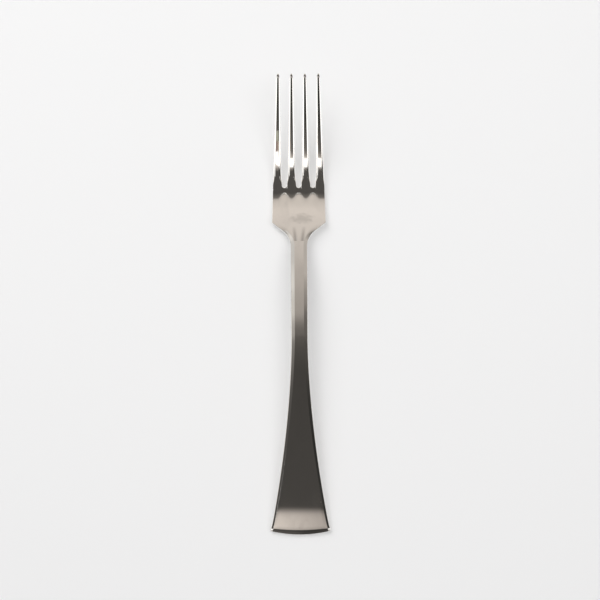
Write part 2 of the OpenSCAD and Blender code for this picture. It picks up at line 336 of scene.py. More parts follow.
handle_share = shape("DIVIDE", along, die["Handle length"])
rest_share = shape("MAXIMUM", 0, shape("SUBTRACT", 1, handle_share))
tail = shape("DIVIDE", shape("SUBTRACT", die["Tail length"], along), die["Tail turn"])
tail_full = shape("DIVIDE", die["Tail length"], die["Tail turn"])
tail_z = shape("MULTIPLY", die["Tail drop"], shape("DIVIDE", eased(tail), eased(tail_full)))
arch_share = shape("POWER", rest_share, die["Rise power"])
below_arch = shape("MULTIPLY_ADD", die["Arch height"], arch_share, tail_z)
stretch = shape(
    "DIVIDE",
    shape("ADD", die["Arch height"], die["Heel ground off"]),
    shape("ADD", die["Arch height"], die["Tail drop"]),
)
handle_z = shape("SUBTRACT", die["Arch height"], shape("MULTIPLY", stretch, below_arch))

drop_share = shape(
    "DIVIDE",
    shape("SUBTRACT", along, die["Handle length"]),
    shape("SUBTRACT", die["Belly place"], die["Handle length"]),
)
drop_turn = shape("MINIMUM", 1, shape("POWER", shape("MAXIMUM", 0, drop_share), die["Drop power"]))
dropped = shape("MULTIPLY_ADD", shape("COSINE", shape("MULTIPLY", math.pi, drop_turn)), -0.5, 0.5)
fall_z = shape("MULTIPLY", shape("ADD", die["Arch height"], die["Head ground off"]), dropped)
drop_z = shape("SUBTRACT", die["Arch height"], fall_z)

beyond = shape("SUBTRACT", along, die["Belly place"])
bend_left = shape("EXPONENT", shape("DIVIDE", shape("MULTIPLY", beyond, -1), die["Tine bend"]))
bent = shape("SUBTRACT", 1, bend_left)
straight = shape("SUBTRACT", beyond, shape("MULTIPLY", die["Tine bend"], bent))
tine_z = shape(
    "SUBTRACT",
    shape("MULTIPLY", shape("TANGENT", die["Tine pitch"]), straight),
    die["Head ground off"],
)


def choose(limit_s, before, after):
    """The first height before a place along the fork, and the second one after it."""
    node = press.nodes.new("GeometryNodeSwitch")
    node.input_type = "FLOAT"
    press.links.new(shape("LESS_THAN", along, limit_s), node.inputs["Switch"])
    press.links.new(after, node.inputs["False"])
    press.links.new(before, node.inputs["True"])
    return node.outputs["Output"]


under_z = choose(die["Handle length"], handle_z, choose(die["Belly place"], drop_z, tine_z))
here = press.nodes.new("GeometryNodeInputPosition")
parts = press.nodes.new("ShaderNodeSeparateXYZ")
press.links.new(here.outputs[0], parts.inputs[0])
joined = press.nodes.new("ShaderNodeCombineXYZ")
press.links.new(parts.outputs["X"], joined.inputs["X"])
press.links.new(parts.outputs["Y"], joined.inputs["Y"])
press.links.new(shape("MAXIMUM", 0, shape("ADD", parts.outputs["Z"], under_z)), joined.inputs["Z"])
moved = press.nodes.new("GeometryNodeSetPosition")
press.links.new(die["Blank"], moved.inputs["Geometry"])
press.links.new(joined.outputs[0], moved.inputs["Position"])
realized = press.nodes.new("GeometryNodeRealizeInstances")
press.links.new(moved.outputs[0], realized.inputs[0])
finished = press.nodes.new("GeometryNodeSetMaterial")
press.links.new(realized.outputs[0], finished.inputs["Geometry"])
press.links.new(die["Finish"], finished.inputs["Material"])
press.links.new(finished.outputs[0], press.nodes.new("NodeGroupOutput").inputs[0])


def pressed(name, patches, finish):
    """Presses a zone's flat blank, keeps the skin's normals, drops the spare rows and
    closes the flat cuts towards the next zones."""
    blank = bpy.data.objects.new(name, skin(name + "_blank", patches))
    bpy.context.scene.collection.objects.link(blank)
    modifier = blank.modifiers.new("press", "NODES")
    modifier.node_group = press
    for item in press.interface.items_tree:
        if item.in_out == "INPUT" and item.name in press_sizes:
            modifier[item.identifier] = press_sizes[item.name]
        if item.in_out == "INPUT" and item.name == "Finish":
            modifier[item.identifier] = finish
    seen = blank.evaluated_get(bpy.context.evaluated_depsgraph_get())
    mesh = bpy.data.meshes.new_from_object(seen)
    blank.modifiers.remove(modifier)

    made = bmesh.new()
    made.from_mesh(mesh)
    spare_face = made.faces.layers.int["spare"]
    slopes = made.verts.layers.float_vector.new("slope")
    for vert in made.verts:
        vert[slopes] = vert.normal
    spare = [face for face in made.faces if face[spare_face]]
    bmesh.ops.delete(made, geom=spare, context="FACES")
    skin_faces = set(made.faces)
    rim = [e for e in made.edges if e.is_boundary]
    bmesh.ops.holes_fill(made, edges=rim, sides=0)
    caps = [face for face in made.faces if face not in skin_faces]
    bmesh.ops.recalc_face_normals(made, faces=made.faces)
    bmesh.ops.triangulate(made, faces=caps)
    for face in made.faces:
        face.smooth = True
        face[spare_face] = face not in skin_faces
    made.to_mesh(mesh)
    made.free()

    slope = mesh.attributes["slope"].data
    flat = mesh.attributes["spare"].data
    normals = []
    for polygon in mesh.polygons:
        cap = flat[polygon.index].value
        for vert in polygon.vertices:
            normals.append(polygon.normal if cap else slope[vert].vector.normalized())
    mesh.normals_split_custom_set(normals)
    for used in ("slope", "spare", "along"):
        mesh.attributes.remove(mesh.attributes[used])
    mesh.name = name
    blank.data = mesh
    return blank


# The finish: bright polished steel, with the lengthwise lines of the last polishing
# belt, cloudy wiping marks, a few specks, painted shade in the flutes and slightly
# duller round edges. What dims is taken off the colour, and what is rough is added to
# the roughness.
cloud_dims = 0.16
speck_dims = 0.35
groove_painted_shade = 0.35
smear_dims = 0.2
cloud_rough = 0.14
groove_rough = 0.1
smear_rough = 0.08
speck_rough = 0.3
wear_rough = 0.1
line_rough = 0.12
least_rough = 0.03
speck_height = -0.5
mark_strength = 0.25
mark_depth = 0.002 * mm
polish = bpy.data.node_groups.new("polish", "ShaderNodeTree")
for label, kind in (
    ("Colour", "NodeSocketColor"),
    ("Far colour", "NodeSocketColor"),
    ("Fade from", "NodeSocketFloat"),
    ("Fade to", "NodeSocketFloat"),
    ("Roughness", "NodeSocketFloat"),
    ("Lines", "NodeSocketFloat"),
    ("Clouds", "NodeSocketFloat"),
    ("Specks", "NodeSocketFloat"),
    ("Edge wear", "NodeSocketFloat"),
    ("Smear", "NodeSocketFloat"),
):
    polish.interface.new_socket(label, in_out="INPUT", socket_type=kind)
for label, kind in (
    ("Colour", "NodeSocketColor"),
    ("Roughness", "NodeSocketFloat"),
    ("Height", "NodeSocketFloat"),
):
    polish.interface.new_socket(label, in_out="OUTPUT", socket_type=kind)
given = polish.nodes.new("NodeGroupInput").outputs
polish_out = polish.nodes.new("NodeGroupOutput").inputs
place = polish.nodes.new("ShaderNodeTexCoord").outputs["Object"]


def buff(operation, *values):
    return calc(polish, operation, *values)


def pattern(scale, stretch_xyz, detail, distortion=0):
    """Noise on the piece's own coordinates, drawn out by a scale for each axis."""
    mapping = polish.nodes.new("ShaderNodeMapping")
    mapping.inputs["Scale"].default_value = stretch_xyz
    polish.links.new(place, mapping.inputs["Vector"])
    noise = polish.nodes.new("ShaderNodeTexNoise")
    noise.inputs["Scale"].default_value = scale
    noise.inputs["Detail"].default_value = detail
    noise.inputs["Distortion"].default_value = distortion
    polish.links.new(mapping.outputs[0], noise.inputs["Vector"])
    return noise.outputs["Fac"]


def ramp(value, low, high):
    """A mask that rises from 0 to 1 between two values."""
    node = polish.nodes.new("ShaderNodeMapRange")
    node.interpolation_type = "SMOOTHSTEP"
    for label, bound in (("From Min", low), ("From Max", high)):
        if isinstance(bound, (int, float)):
            node.inputs[label].default_value = bound
        else:
            polish.links.new(bound, node.inputs[label])
    polish.links.new(value, node.inputs["Value"])
    return node.outputs["Result"]


def blend_colour(kind, factor, first, second):
    """Two colours blended or multiplied by a factor."""
    node = polish.nodes.new("ShaderNodeMix")
    node.data_type = "RGBA"
    node.blend_type = kind
    for label, value in (("Factor", factor), ("A", first), ("B", second)):
        if isinstance(value, (int, float)):
            node.inputs[label].default_value = value
        else:
            polish.links.new(value, node.inputs[label])
    return node.outputs["Result"]


line = pattern(scale=900, stretch_xyz=(9, 0.14, 2), detail=2)
wiped = pattern(scale=85, stretch_xyz=(1.6, 0.8, 1), detail=4, distortion=0.8)
cloud = ramp(wiped, low=0.46, high=0.72)
dusty = pattern(scale=160, stretch_xyz=(1, 1, 1), detail=1)
speck_cells = polish.nodes.new("ShaderNodeTexVoronoi")
speck_cells.inputs["Scale"].default_value = 420
polish.links.new(place, speck_cells.inputs["Vector"])
speck = buff(
    "MULTIPLY",
    buff("SUBTRACT", 1, ramp(speck_cells.outputs["Distance"], low=0.04, high=0.1)),
    ramp(dusty, low=0.6, high=0.68),
)
edge_node = polish.nodes.new("ShaderNodeAttribute")
edge_node.attribute_name = "edge"
rim = buff("SUBTRACT", 1, ramp(edge_node.outputs["Fac"], low=0, high=flank_r))
groove_node = polish.nodes.new("ShaderNodeAttribute")
groove_node.attribute_name = "groove"
groove = groove_node.outputs["Fac"]

marks = buff("MULTIPLY", cloud, given["Clouds"])
dust = buff("MULTIPLY", speck, given["Specks"])
worn = buff("MULTIPLY", rim, given["Edge wear"])
streak = buff("MULTIPLY", buff("SUBTRACT", line, 0.5), given["Lines"])

# The smear: an oval with a ragged rim, where the polishing cloth last stopped on the palm.
smear_x = 1.3 * mm
smear_y = 39.4 * mm
smear_half_w = 4.4 * mm
smear_half_l = 2 * mm
smear_ragged = 3.2
place_parts = polish.nodes.new("ShaderNodeSeparateXYZ")
polish.links.new(place, place_parts.inputs[0])
off_x = buff("DIVIDE", buff("SUBTRACT", place_parts.outputs["X"], smear_x), smear_half_w)
off_y = buff("DIVIDE", buff("SUBTRACT", place_parts.outputs["Y"], smear_y), smear_half_l)
oval = buff("MULTIPLY_ADD", off_x, off_x, buff("MULTIPLY", off_y, off_y))
torn = buff("SUBTRACT", pattern(scale=700, stretch_xyz=(0.7, 1, 1), detail=3), 0.5)
ragged = buff("MULTIPLY_ADD", torn, smear_ragged, oval)
smear = buff("MULTIPLY", buff("SUBTRACT", 1, ramp(ragged, low=-0.3, high=2.1)), given["Smear"])

# The flutes' depth darkens the colour: painted shade in the flutes.
lost = buff("MULTIPLY", marks, cloud_dims)
for mark, taken in ((dust, speck_dims), (groove, groove_painted_shade), (smear, smear_dims)):
    lost = buff("MULTIPLY_ADD", mark, taken, lost)
shade = buff("SUBTRACT", 1, lost)
grey = polish.nodes.new("ShaderNodeCombineColor")
for channel in ("Red", "Green", "Blue"):
    polish.links.new(shade, grey.inputs[channel])
# The fade between the two colours along the fork paints shade and highlight into the steel.
fade = ramp(place_parts.outputs["Y"], given["Fade from"], given["Fade to"])
metal = blend_colour("MIX", fade, given["Colour"], given["Far colour"])
polish.links.new(blend_colour("MULTIPLY", 1, metal, grey.outputs[0]), polish_out["Colour"])
rough = given["Roughness"]
for mark, added in (
    (marks, cloud_rough),
    (groove, groove_rough),
    (smear, smear_rough),
    (dust, speck_rough),
    (worn, wear_rough),
    (streak, line_rough),
):
    rough = buff("MULTIPLY_ADD", mark, added, rough)
polish.links.new(buff("MAXIMUM", least_rough, rough), polish_out["Roughness"])
polish.links.new(buff("MULTIPLY_ADD", dust, speck_height, streak), polish_out["Height"])


def steel(name, colour, far_colour, fade, roughness, lines, clouds, specks, wear, smear=0):
    """Polished steel of one zone, from the shared polish. Its tone fades from one colour
    to the other between two places along the fork: painted shade and highlight in the
    steel's colour."""
    finish = bpy.data.materials.new(name)
    finish.use_nodes = True
    nodes, links = finish.node_tree.nodes, finish.node_tree.links
    surface = nodes["Principled BSDF"]
    surface.inputs["Metallic"].default_value = 1
    buffed = nodes.new("ShaderNodeGroup")
    buffed.node_tree = polish
    buffed.inputs["Colour"].default_value = (*colour, 1)
    buffed.inputs["Far colour"].default_value = (*far_colour, 1)
    buffed.inputs["Fade from"].default_value = fade[0]
    buffed.inputs["Fade to"].default_value = fade[1]
    buffed.inputs["Roughness"].default_value = roughness
    buffed.inputs["Lines"].default_value = lines
    buffed.inputs["Clouds"].default_value = clouds
    buffed.inputs["Specks"].default_value = specks
    buffed.inputs["Edge wear"].default_value = wear
    buffed.inputs["Smear"].default_value = smear
    bump = nodes.new("ShaderNodeBump")
    bump.inputs["Strength"].default_value = mark_strength
    bump.inputs["Distance"].default_value = mark_depth
    links.new(buffed.outputs["Colour"], surface.inputs["Base Color"])
    links.new(buffed.outputs["Roughness"], surface.inputs["Roughness"])
    links.new(buffed.outputs["Height"], bump.inputs["Height"])
    links.new(bump.outputs[0], surface.inputs["Normal"])
    return finish


handle_stations = round_edge(end_edge)[:-1]
handle_stations += spread(end_edge, end_fall, end_rows)
handle_stations += spread(end_fall, crown_len, crown_rows)[1:]
handle_stations += spread(crown_len, neck_s, round((neck_s - crown_len) / row_gap))[1:]
handle_rows = [(bar_row(s), False) for s in handle_stations]
handle_rows += [(bar_row(neck_s + spare_gap * i), True) for i in (1, 2)]
bar_tone = (0.74, 0.725, 0.705)
# Where the neck's colour fades to its painted shade over the arch.
arch_shade_fade = (-12 * mm, 6 * mm)
handle_steel = steel(
    "handle_steel", bar_tone, bar_tone, arch_shade_fade,
    roughness=0.05, lines=0.4, clouds=0.22, specks=1, wear=1,
)
handle = pressed("handle_skin", [handle_rows], handle_steel)
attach(handle, "root")
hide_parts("handle")

# Neck: the narrow bar over the arch, the thickest part of the blank. Its flat top and
# the two ground bevels stop at a line across the steel where the palm begins.
neck_rows = [(bar_row(neck_s - spare_gap * i), True) for i in (2, 1)]
neck_rows += [(bar_row(s), False) for s in spread(neck_s, palm_s, round(neck_len / row_gap))]
neck_rows += [(bar_row(palm_s + spare_gap * i), True) for i in (1, 2)]
# Painted shade: the neck's steel colour darkens towards the arch, and the head starts from it.
arch_painted_shade_tone = (0.60, 0.59, 0.57)
neck_steel = steel(
    "neck_steel", bar_tone, arch_painted_shade_tone, arch_shade_fade,
    roughness=0.055, lines=0.4, clouds=0.22, specks=1, wear=1,
)
neck = pressed("neck_skin", [neck_rows], neck_steel)
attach(neck, "root")
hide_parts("neck")

# Head: the rolled palm between concave shoulders, with two short flutes behind the
# neck's line and three round slot bottoms, punched out and tumbled smooth. The roots
# of the four tines belong to it.
tines = 4
root_pitch = 6.25 * mm
tip_pitch = 5.7 * mm
root_flare = 7 * mm
tine_w = 3.15 * mm
tip_w = 1.5 * mm
tip_len = 2.2 * mm
tine_flank_r = 1.1 * mm
worn_run = 4.5 * mm
flank_share = 0.29
root_stub = 1.25 * mm
root_s = round_s + root_stub
point_s = total - tip_len
flute_len = 6.4 * mm
flute_w = 2.5 * mm
flute_deep = 0.17 * mm
flute_gap = 4.5 * mm
flute_lean_share = 0.33
band_w = 2 * mm
slot_run = 2.2 * mm
run_s = slot_s - slot_run
slot_steps = 16
middle_steps = 6
shoulder_steps = 26
side_steps = 14
root_steps = 4
slot_row_shares = (0.86, 0.72, 0.58, 0.46, 0.36)
arc_x = neck_w / 2 + shoulder_r

# The bend of the belly lags a little behind the dies, most of all between the tines.
lag_most = 2.4 * mm
lag_least = 0.9 * mm
lag_from = slot_s - 9.5 * mm
lag_full = slot_s - 2.8 * mm
lag_end = slot_s + 3.5 * mm


def pitch(s):
    return mix(root_pitch, tip_pitch, (s - round_s) / (total - round_s))


def inner_half(s):
    """Half the width of a tine, on its flanks towards the slots."""
    if s < round_s + root_flare:
        return mix(root_pitch / 2 - slot_r, tine_w / 2, soft((s - round_s) / root_flare))
    return mix(tine_w, tip_w, (s - round_s - root_flare) / (point_s - round_s - root_flare)) / 2


def outer_half(s):
    """Half the width over all four tines."""
    tip = (tines - 1) / 2 * pitch(point_s) + tip_w / 2
    return mix(root_w / 2, tip, (s - round_s) / (point_s - round_s))


def tumbled(s):
    """How far the flanks of a tine have been worn from a round corner to a full round."""
    return soft((s - round_s) / worn_run)


def flank_round(i, s):
    """Width of the rounding along each flank of a tine."""
    left, right = flanks(i, s)
    return min((right - left) * flank_share, mix(flank_r, tine_flank_r, tumbled(s)))


def flanks(i, s):
    """Left and right flank of a tine, counted from the left."""
    middle = (i - (tines - 1) / 2) * pitch(s)
    left = -outer_half(s) if i == 0 else middle - inner_half(s)
    right = outer_half(s) if i == tines - 1 else middle + inner_half(s)
    return left, right


def root_columns(i, s):
    """Places across a root. An outer root carries the whole edge band on its outside."""
    left, right = flanks(i, s)
    wide = band_columns(s)
    narrow = round_edge(flank_round(i, s))
    left_run = wide if i == 0 else narrow
    right_run = wide if i == tines - 1 else narrow
    inside = spread(left + left_run[-1], right - right_run[-1], middle_steps)[1:-1]
    return [left + d for d in left_run] + inside + [right - d for d in right_run[::-1]]


def band_columns(s):
    """Distances from the outline over the whole band that follows it."""
    return edge_band(s) + [band_w]


def slot_x(k):
    return (k + 1 - tines / 2) * root_pitch


def slot_gap(x, s):
    """Distance to the nearest round slot bottom."""
    return min(math.hypot(x - slot_x(k), s - round_s) for k in range(tines - 1)) - slot_r


def flute(x, s):
    """Depth of the two flutes, deepest at the neck's line."""
    run = max(0, (s - palm_s) / flute_len)
    middle = flute_gap / 2 * mix(1 - flute_lean_share, 1, run)
    across = abs(abs(x) - middle) / (flute_w / 2)
    if run > 1 or across > 1:
        return 0
    return flute_deep * (1 + math.cos(math.pi * across)) / 2 * (1 - run ** 2)


# Columns of the palm, left to right: x at the slots, the turn round a slot bottom there
# and whether the column ends on a slot.
slot_line = []
for i in range(tines):
    xs = root_columns(i, round_s)
    for c, x in enumerate(xs):
        on_slot = (c == 0 and i > 0) or (c == len(xs) - 1 and i < tines - 1)
        slot_line.append((x, 0, on_slot))
    if i < tines - 1:
        for k in range(1, slot_steps):
            turn = math.pi * k / slot_steps
            slot_line.append((slot_x(i) - slot_r * math.cos(turn), turn, True))
band_count = len(band_columns(round_s))
last_inner = root_w / 2 - band_w


def mitre(d):
    """How far the shoulder's line runs, moved in by d, and where it meets the side."""
    lost = d * math.tan(shoulder_turn / 2)
    return straight_run - lost, corner_s + lost


def palm_row(reach):
    """A row of the palm. reach gives s and x of the outline, moved in by a distance."""
    inner_s, inner_x = reach(band_w)
    row = []
    distances = band_columns(inner_s)
    for c, (last_x, *_) in enumerate(slot_line):
        from_rim = min(c, len(slot_line) - 1 - c)
        if from_rim < band_count:
            d = distances[from_rim]
            s, x = reach(d)
            x = math.copysign(x, last_x)
        else:
            s, x = inner_s, last_x / last_inner * inner_x
            d = slot_gap(x, s)
        row.append(palm_point(x, s, d))
    return row


def lag(x, s):
    """How far the bend of the belly lags, most of all in line with a slot."""
    across = x / pitch(max(s, round_s))
    beside = (1 + math.cos(2 * math.pi * (across + tines / 2))) / 2
    if abs(across) > (tines - 1) / 2:
        beside = 0
    rise = soft((s - lag_from) / (lag_full - lag_from))
    fall = 1 - soft((s - lag_full) / (slot_s - lag_full))
    slot_fall = 1 - soft((s - lag_full) / (lag_end - lag_full))
    return rise * (lag_least * fall + lag_most * beside * slot_fall)


def palm_point(x, s, d):
    """A point of the palm at a distance d from the outline or from a slot."""
    top, bottom = section(s, d, edge_w(s))
    along = s - lag(x, s)
    depth = flute(x, s) * quarter(d / flank_r)
    return (x, s - total / 2, along, top - depth, bottom, d, depth / flute_deep)


def neck_reach(s):
    """Straight row across, before the palm."""
    return lambda d: (s, half_w(s) - d * slant(s))


def shoulder_reach(u):
    """Row along the shoulder's curve and line, from the neck's line to the mitre."""
    def reach(d):
        r = shoulder_r + d
        start = math.asin((palm_s - shoulder_s) / r)
        along = mix(start, shoulder_turn + mitre(d)[0] / shoulder_r, u)
        turn = min(along, shoulder_turn)
        run = (along - turn) * shoulder_r
        return (
            shoulder_s + r * math.sin(turn) + run * math.cos(turn),
            arc_x - r * math.cos(turn) + run * math.sin(turn),
        )
    return reach


def side_reach(u):
    """Row from the mitre to the straight row before the slots."""
    def reach(d):
        s = mix(mitre(d)[1], run_s, u)
        return s, half_w(max(s, corner_s)) - d
    return reach


def slot_row(gap):
    """Row at a distance from the slot bottoms. It bends from a straight line to them."""
    u = 1 - gap / slot_run
    row = []
    inner_x = side_reach(1)(band_w)[1]
    for c, (last_x, turn, on_slot) in enumerate(slot_line):
        from_rim = min(c, len(slot_line) - 1 - c)
        s = mix(run_s, round_s - slot_r * math.sin(turn), u)
        if from_rim < band_count:
            d = band_columns(s)[from_rim]
            x = math.copysign(half_w(s) - d, last_x)
        else:
            start_x = last_x / last_inner * inner_x
            x = mix(start_x, last_x, u)
            d = 0 if u == 1 and on_slot else max(0, slot_gap(x, s))
        row.append(palm_point(x, s, d))
    return row


def root_row(i, s):
    """One row of a root, from the slot bottoms to the start of a tine."""
    left, right = flanks(i, s)
    row = []
    for x in root_columns(i, s):
        d = max(0, min(x - left, right - x))
        top, bottom = section(s, d, flank_round(i, s), tumbled(s))
        row.append((x, s - total / 2, s - lag(x, s), top, bottom, d, 0))
    return row


palm_patch = [(palm_row(neck_reach(palm_s - spare_gap * i)), True) for i in (2, 1)]
palm_patch += [(palm_row(shoulder_reach(u)), False) for u in spread(0, 1, shoulder_steps)]
palm_patch += [(palm_row(side_reach(u)), False) for u in spread(0, 1, side_steps)[1:]]
slot_gaps = [slot_run * u for u in slot_row_shares] + round_edge(flank_r)[::-1]
palm_patch += [(slot_row(gap), False) for gap in slot_gaps]
head_patches = [palm_patch]
from_column = 0
for i in range(tines):
    columns = len(root_columns(i, round_s))
    first = palm_patch[-1][0][from_column:from_column + columns]
    rows = [(first, False)]
    rows += [(root_row(i, s), False) for s in spread(round_s, root_s, root_steps)[1:]]
    rows += [(root_row(i, root_s + spare_gap * k), True) for k in (1, 2)]
    head_patches.append(rows)
    from_column += columns + slot_steps - 1
# Painted highlight: the head's colour brightens from the arch's painted shade to the palm.
palm_painted_highlight_tone = (0.99, 0.975, 0.95)
palm_highlight_fade = (27 * mm, 47 * mm)
head_steel = steel(
    "head_steel", arch_painted_shade_tone, palm_painted_highlight_tone, palm_highlight_fade,
    roughness=0.06, lines=0.35, clouds=0.3, specks=0.8, wear=0.6, smear=1,
)
head = pressed("head_skin", head_patches, head_steel)
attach(head, "root")
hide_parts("head")

# Tines: four tapered prongs of the same steel, bent up in the press with the palm and
# ground to a bullet point. Tumbling has worn their flanks round. Their colour is a
# little greyer towards the tips, as painted shade.
tine_steps = 46
point_steps = 9
# Painted shade: the tines' steel colour greys towards the tips.
tip_painted_shade_tone = (0.92, 0.91, 0.89)
tip_shade_fade = (55 * mm, 75 * mm)
tine_steel = steel(
    "tine_steel", palm_painted_highlight_tone, tip_painted_shade_tone, tip_shade_fade,
    roughness=0.05, lines=0.3, clouds=0.25, specks=0.6, wear=0.6,
)


def tine_row(i, s):
    """One row of a tine. Width and thickness draw in together at the point."""
    at = min(s, point_s)
    left, right = flanks(i, at)
    middle = (left + right) / 2
    r = flank_round(i, at)
    draw = quarter(1 - limit((s - point_s) / tip_len))
    xs = [left + d for d in round_edge(r)]
    xs += spread(left + r, right - r, middle_steps)[1:-1]
    xs += [right - d for d in round_edge(r)[::-1]]
    row = []
    for x in xs:
        d = max(0, min(x - left, right - x))
        top, bottom = (mix(thick(s) / 2, z, draw) for z in section(at, d, r, tumbled(at)))
        row.append((mix(middle, x, draw), s - total / 2, s - lag(x, s), top, bottom, d, 0))
    return row


tine_stations = spread(root_s, point_s, tine_steps)
for k in range(1, point_steps + 1):
    tine_stations.append(point_s + tip_len * math.sin(math.pi / 2 * k / point_steps))
for i in range(tines):
    rows = [(tine_row(i, root_s - spare_gap * k), True) for k in (2, 1)]
    rows += [(tine_row(i, s), False) for s in tine_stations]
    tine = pressed("tine_%d_skin" % (i + 1), [rows], tine_steel)
    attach(tine, "root")
    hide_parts("tine_%d" % (i + 1))

# Table: a plain, matt, pale top that the fork lies on. It keeps the fork's soft shadow,
# and polished steel mirrors it as an even pale surface.
table_z = 0
table_half = 3
table_tone = (0.88, 0.875, 0.87)
table_rough = 0.9
table_glow = (0.98, 0.972, 0.965)
table_camera_share = 0.15
table_mesh = bpy.data.meshes.new("table")
table_corners = [
    (-table_half, -table_half, table_z),
    (table_half, -table_half, table_z),
    (table_half, table_half, table_z),
    (-table_half, table_half, table_z),
]
table_mesh.from_pydata(table_corners, [], [(0, 1, 2, 3)])
table = bpy.data.objects.new("table", table_mesh)
bpy.context.scene.collection.objects.link(table)
table_top = bpy.data.materials.new("table_top")
table_top.use_nodes = True
top_tree = table_top.node_tree
matt = top_tree.nodes["Principled BSDF"]
matt.inputs["Base Color"].default_value = (*table_tone, 1)
matt.inputs["Roughness"].default_value = table_rough
matt.inputs["Specular IOR Level"].default_value = 0
even_top = top_tree.nodes.new("ShaderNodeEmission")
even_top.inputs["Color"].default_value = (*table_glow, 1)
top_rays = top_tree.nodes.new("ShaderNodeLightPath")
seen_share = calc(top_tree, "MULTIPLY", top_rays.outputs["Is Camera Ray"], table_camera_share)
even_share = calc(top_tree, "MAXIMUM", seen_share, top_rays.outputs["Is Glossy Ray"])
top_mix = top_tree.nodes.new("ShaderNodeMixShader")
top_tree.links.new(even_share, top_mix.inputs[0])
top_tree.links.new(matt.outputs[0], top_mix.inputs[1])
top_tree.links.new(even_top.outputs[0], top_mix.inputs[2])
top_tree.links.new(top_mix.outputs[0], top_tree.nodes["Material Output"].inputs["Surface"])
table_mesh.materials.append(table_top)

# Room: what the steel mirrors, a dark shape over the fork and pale walls round it. Each
# tone is the lean of the mirrored ray in degrees from straight up, above zero towards the
# tines, and the colour there. Most follow tones read off the steel in the photo.
over_tones = (
    (-84, 0.10, 0.092, 0.085),
    (-42, 0.060, 0.056, 0.052),
    (-39.2, 0.045, 0.043, 0.041),
    (-38.5, 0.060, 0.057, 0.053),
    (-37.4, 0.100, 0.093, 0.086),
    (-36, 0.130, 0.121, 0.111),
    (-34.5, 0.160, 0.148, 0.136),
    (-33.4, 0.40, 0.363, 0.33),
    (-31.6, 0.75, 0.68, 0.62),
    (-30.6, 0.74, 0.67, 0.61),
    (-30, 0.46, 0.418, 0.382),
    (-29.2, 0.34, 0.309, 0.282),
    (-28.3, 0.16, 0.146, 0.133),
    (-27.4, 0.075, 0.070, 0.065),
    (-12, 0.070, 0.065, 0.060),
    (-8, 0.090, 0.083, 0.076),
    (-4.5, 0.120, 0.110, 0.100),
    (-1.6, 0.140, 0.128, 0.117),
    (-1.2, 0.180, 0.164, 0.149),
    (-0.6, 0.28, 0.255, 0.232),
    (0, 0.38, 0.346, 0.315),
    (1, 0.50, 0.455, 0.415),
    (5, 0.58, 0.528, 0.481),
    (13, 0.66, 0.60, 0.548),
    (24, 0.70, 0.637, 0.581),
    (33, 0.73, 0.665, 0.61),
    (40, 0.80, 0.73, 0.67),
    (48, 0.90, 0.82, 0.755),
    (58, 0.95, 0.90, 0.85),
    (70, 0.55, 0.52, 0.49),
    (84, 0.40, 0.38, 0.36),
)
near_left_tones = (
    (-84, 0.08, 0.076, 0.072),
    (-50, 0.08, 0.076, 0.072),
    (-45, 1.80, 1.78, 1.75),
    (-21, 1.80, 1.78, 1.75),
    (-19.5, 0.08, 0.076, 0.072),
    (-8, 0.20, 0.187, 0.173),
    (-1, 0.50, 0.47, 0.44),
    (5, 0.90, 0.865, 0.82),
    (35, 1.0, 0.965, 0.92),
    (58, 1.1, 1.08, 1.04),
    (84, 0.60, 0.58, 0.56),
)
left_tones = (
    (-84, 0.60, 0.58, 0.56),
    (-52, 0.70, 0.68, 0.66),
    (-45, 1.80, 1.78, 1.75),
    (-33, 1.80, 1.78, 1.75),
    (-31.5, 0.58, 0.54, 0.49),
    (-28, 0.27, 0.25, 0.23),
    (-26, 0.085, 0.08, 0.075),
    (-16, 0.10, 0.094, 0.088),
    (-11.5, 0.12, 0.113, 0.106),
    (-8, 0.20, 0.188, 0.175),
    (-4.5, 0.28, 0.265, 0.248),
    (-1.4, 0.50, 0.475, 0.445),
    (-0.6, 0.63, 0.60, 0.56),
    (0.4, 0.85, 0.81, 0.76),
    (1.8, 0.88, 0.84, 0.79),
    (6, 0.95, 0.91, 0.86),
    (13, 1.10, 1.06, 1.01),
    (27, 1.07, 1.03, 0.98),
    (39, 0.95, 0.91, 0.87),
    (52, 0.90, 0.87, 0.83),
    (80, 0.50, 0.48, 0.46),
)
far_left_tones = (
    (-84, 0.60, 0.58, 0.56),
    (-52, 0.70, 0.68, 0.66),
    (-45, 1.80, 1.78, 1.75),
    (-21, 1.80, 1.78, 1.75),
    (-19.5, 1.0, 0.97, 0.94),
    (52, 1.0, 0.97, 0.94),
    (80, 0.50, 0.48, 0.46),
)
right_tones = (
    (-84, 0.45, 0.43, 0.41),
    (-52, 0.60, 0.57, 0.54),
    (-45, 1.80, 1.78, 1.75),
    (-29.5, 1.80, 1.78, 1.75),
    (-27.8, 0.045, 0.043, 0.040),
    (-20, 0.045, 0.043, 0.040),
    (-16, 0.030, 0.029, 0.027),
    (-11.5, 0.055, 0.051, 0.047),
    (-8, 0.085, 0.078, 0.071),
    (-4.5, 0.100, 0.092, 0.084),
    (-1.6, 0.155, 0.142, 0.130),
    (0.4, 0.21, 0.192, 0.175),
    (1.8, 0.275, 0.25, 0.228),
    (3.7, 0.38, 0.347, 0.317),
    (6, 0.41, 0.375, 0.343),
    (9, 0.47, 0.43, 0.393),
    (13, 0.53, 0.485, 0.443),
    (20, 0.60, 0.55, 0.505),
    (27, 0.74, 0.68, 0.625),
    (39, 0.75, 0.69, 0.635),
    (52, 0.70, 0.65, 0.60),
    (80, 0.40, 0.38, 0.36),
)

# Walls to either side of what stands over the fork. Each starts at its first tilt of the
# mirrored ray, in degrees to the right, and is full at its second.
side_walls = (
    (-20, -26, near_left_tones),
    (-38, -42, left_tones),
    (-61, -68, far_left_tones),
    (25, 42, right_tones),
)
tone_span = 180
room_light_tone = (0.98, 0.985, 1)
room_light = 0.44
backdrop_tone = (0.9, 0.895, 0.89)
room = bpy.data.worlds.new("room")
bpy.context.scene.world = room
room.use_nodes = True
tree = room.node_tree
tree.nodes.clear()


def light(operation, *values):
    return calc(tree, operation, *values)


